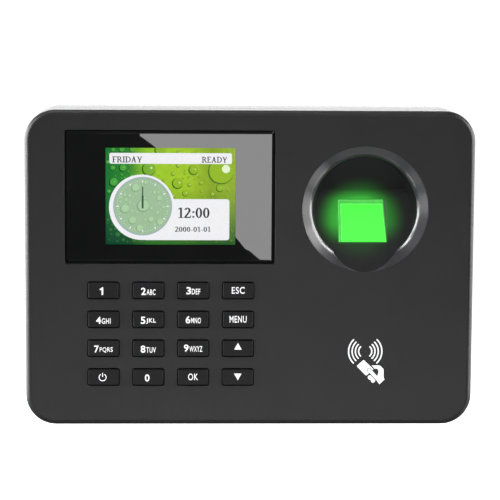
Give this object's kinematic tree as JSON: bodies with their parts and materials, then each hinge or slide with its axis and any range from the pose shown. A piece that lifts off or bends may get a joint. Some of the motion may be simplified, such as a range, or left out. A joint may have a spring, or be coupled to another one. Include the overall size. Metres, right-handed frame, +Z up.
{
  "type": "fingerprint scanner terminal",
  "caption": "Wall terminal with a colour display, numeric keys, a round finger recess with a lit optical reader, a card reader area and a steel wall plate.",
  "frame": {"origin": "centre of the wall side of the wall plate, which is the centre of the terminal's back", "axes": "+X right for someone facing the terminal, +Y into the wall, +Z up; the face looks along -Y"},
  "size_m": [0.17, 0.0359, 0.12],
  "materials": {
    "shell_plastic": "fine spark texture, charcoal",
    "lens_acrylic": "polished, printed black behind",
    "black_tape": "matte",
    "panel_glass": "lit display cell",
    "backlight_tray": "white moulded tray",
    "black_foam": "open foam",
    "amber_flex": "polyimide film",
    "grey_silicone": "moulded silicone",
    "gold_pad": "gold flash",
    "green_board": "solder mask",
    "chip_black": "moulded epoxy",
    "cell_steel": "nickel plated",
    "capacitor_sleeve": "shrink sleeve",
    "connector_nylon": "natural nylon",
    "screw_steel": "zinc plated",
    "prism_green": "clear optical block lit green",
    "reader_plastic": "matte black",
    "white_board": "white solder mask",
    "led_green": "lit",
    "blue_board": "solder mask",
    "cable_black": "jacket",
    "copper_track": "etched copper",
    "speaker_steel": "pressed steel",
    "speaker_paper": "pulp cone",
    "magnet_steel": "ferrite",
    "wire_red": "insulation",
    "port_steel": "nickel plated",
    "screw_black": "black oxide",
    "plate_zinc": "zinc plated sheet",
    "key_plastic": "satin moulded key"
  },
  "bodies": {
    "housing": {"front_shell": "shell_plastic", "finger_cup": "shell_plastic", "rear_shell": "shell_plastic", "display_lens": "lens_acrylic", "lens_tape": "black_tape", "lcd_panel": "panel_glass", "lcd_backlight": "backlight_tray", "lcd_foam": "black_foam", "lcd_flex": "amber_flex", "keypad_mat": "grey_silicone", "contact_pads": "gold_pad", "main_board": "green_board", "processor": "chip_black", "memory_chips": "chip_black", "coin_holder": "chip_black", "coin_cell": "cell_steel", "capacitors": "capacitor_sleeve", "board_connectors": "connector_nylon", "board_screws": "screw_steel", "sensor_prism": "prism_green", "sensor_gasket": "black_tape", "sensor_housing": "reader_plastic", "led_board": "white_board", "green_leds": "led_green", "lens_barrel": "reader_plastic", "image_board": "blue_board", "image_chip": "chip_black", "sensor_screws": "screw_steel", "sensor_cable": "cable_black", "rfid_board": "green_board", "rfid_coil": "copper_track", "speaker_frame": "speaker_steel", "speaker_cone": "speaker_paper", "speaker_magnet": "magnet_steel", "speaker_wires": "wire_red", "io_board": "green_board", "usb_port": "port_steel", "dc_jack": "chip_black", "header_strip": "chip_black", "io_screws": "screw_steel", "case_screws": "screw_black", "wall_plate": "plate_zinc", "lock_screw": "screw_black"},
    "key_1": {"key_1": "key_plastic"},
    "key_2": {"key_2": "key_plastic"},
    "key_3": {"key_3": "key_plastic"},
    "key_esc": {"key_esc": "key_plastic"},
    "key_4": {"key_4": "key_plastic"},
    "key_5": {"key_5": "key_plastic"},
    "key_6": {"key_6": "key_plastic"},
    "key_menu": {"key_menu": "key_plastic"},
    "key_7": {"key_7": "key_plastic"},
    "key_8": {"key_8": "key_plastic"},
    "key_9": {"key_9": "key_plastic"},
    "key_up": {"key_up": "key_plastic"},
    "key_power": {"key_power": "key_plastic"},
    "key_0": {"key_0": "key_plastic"},
    "key_ok": {"key_ok": "key_plastic"},
    "key_down": {"key_down": "key_plastic"}
  },
  "joints": [
    {"name": "key_1_press", "type": "slide", "parent": "housing", "child": "key_1", "axis": [0, 1, 0], "range_m": [0, 0.0008], "stiffness_N_per_m": 900, "springref_m": -0.0006, "deforming": ["keypad_mat"]},
    {"name": "key_2_press", "type": "slide", "parent": "housing", "child": "key_2", "axis": [0, 1, 0], "range_m": [0, 0.0008], "stiffness_N_per_m": 900, "springref_m": -0.0006, "deforming": ["keypad_mat"]},
    {"name": "key_3_press", "type": "slide", "parent": "housing", "child": "key_3", "axis": [0, 1, 0], "range_m": [0, 0.0008], "stiffness_N_per_m": 900, "springref_m": -0.0006, "deforming": ["keypad_mat"]},
    {"name": "key_esc_press", "type": "slide", "parent": "housing", "child": "key_esc", "axis": [0, 1, 0], "range_m": [0, 0.0008], "stiffness_N_per_m": 900, "springref_m": -0.0006, "deforming": ["keypad_mat"]},
    {"name": "key_4_press", "type": "slide", "parent": "housing", "child": "key_4", "axis": [0, 1, 0], "range_m": [0, 0.0008], "stiffness_N_per_m": 900, "springref_m": -0.0006, "deforming": ["keypad_mat"]},
    {"name": "key_5_press", "type": "slide", "parent": "housing", "child": "key_5", "axis": [0, 1, 0], "range_m": [0, 0.0008], "stiffness_N_per_m": 900, "springref_m": -0.0006, "deforming": ["keypad_mat"]},
    {"name": "key_6_press", "type": "slide", "parent": "housing", "child": "key_6", "axis": [0, 1, 0], "range_m": [0, 0.0008], "stiffness_N_per_m": 900, "springref_m": -0.0006, "deforming": ["keypad_mat"]},
    {"name": "key_menu_press", "type": "slide", "parent": "housing", "child": "key_menu", "axis": [0, 1, 0], "range_m": [0, 0.0008], "stiffness_N_per_m": 900, "springref_m": -0.0006, "deforming": ["keypad_mat"]},
    {"name": "key_7_press", "type": "slide", "parent": "housing", "child": "key_7", "axis": [0, 1, 0], "range_m": [0, 0.0008], "stiffness_N_per_m": 900, "springref_m": -0.0006, "deforming": ["keypad_mat"]},
    {"name": "key_8_press", "type": "slide", "parent": "housing", "child": "key_8", "axis": [0, 1, 0], "range_m": [0, 0.0008], "stiffness_N_per_m": 900, "springref_m": -0.0006, "deforming": ["keypad_mat"]},
    {"name": "key_9_press", "type": "slide", "parent": "housing", "child": "key_9", "axis": [0, 1, 0], "range_m": [0, 0.0008], "stiffness_N_per_m": 900, "springref_m": -0.0006, "deforming": ["keypad_mat"]},
    {"name": "key_up_press", "type": "slide", "parent": "housing", "child": "key_up", "axis": [0, 1, 0], "range_m": [0, 0.0008], "stiffness_N_per_m": 900, "springref_m": -0.0006, "deforming": ["keypad_mat"]},
    {"name": "key_power_press", "type": "slide", "parent": "housing", "child": "key_power", "axis": [0, 1, 0], "range_m": [0, 0.0008], "stiffness_N_per_m": 900, "springref_m": -0.0006, "deforming": ["keypad_mat"]},
    {"name": "key_0_press", "type": "slide", "parent": "housing", "child": "key_0", "axis": [0, 1, 0], "range_m": [0, 0.0008], "stiffness_N_per_m": 900, "springref_m": -0.0006, "deforming": ["keypad_mat"]},
    {"name": "key_ok_press", "type": "slide", "parent": "housing", "child": "key_ok", "axis": [0, 1, 0], "range_m": [0, 0.0008], "stiffness_N_per_m": 900, "springref_m": -0.0006, "deforming": ["keypad_mat"]},
    {"name": "key_down_press", "type": "slide", "parent": "housing", "child": "key_down", "axis": [0, 1, 0], "range_m": [0, 0.0008], "stiffness_N_per_m": 900, "springref_m": -0.0006, "deforming": ["keypad_mat"]}
  ]
}
